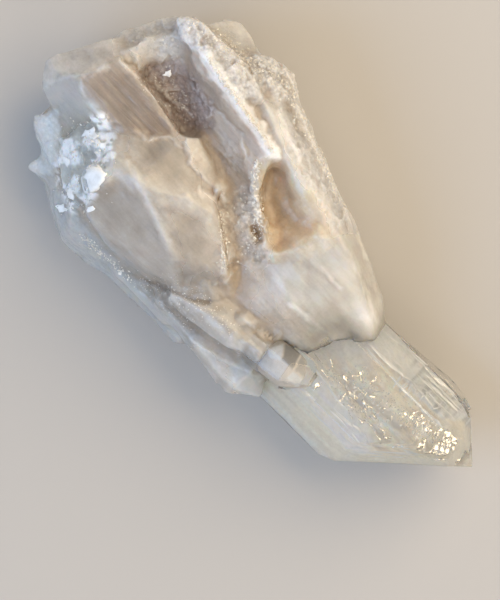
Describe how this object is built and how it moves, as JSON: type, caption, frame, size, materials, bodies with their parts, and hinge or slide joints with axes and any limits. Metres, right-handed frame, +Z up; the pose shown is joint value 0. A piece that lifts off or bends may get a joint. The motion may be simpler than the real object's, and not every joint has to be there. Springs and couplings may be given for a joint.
{
  "type": "quartz crystal cluster",
  "caption": "Natural cluster of intergrown quartz crystals lying on its side: a large clear six-sided point leaves a crusted, smoky root of milky crystals. A display stone.",
  "frame": {"origin": "middle of the stone's outline seen from above, at the surface it rests on", "axes": "+X along the large crystal, towards its point; +Z up; the crusted ridge and fin are on the +Y side and the small crystals on the -Y side"},
  "size_m": [0.1482, 0.0722, 0.0466],
  "materials": {
    "quartz": "clear to milky crystal, glossy on its faces and frosted on broken and crusted parts"
  },
  "bodies": {
    "root": {"quartz_cluster": "quartz"}
  },
  "joints": []
}
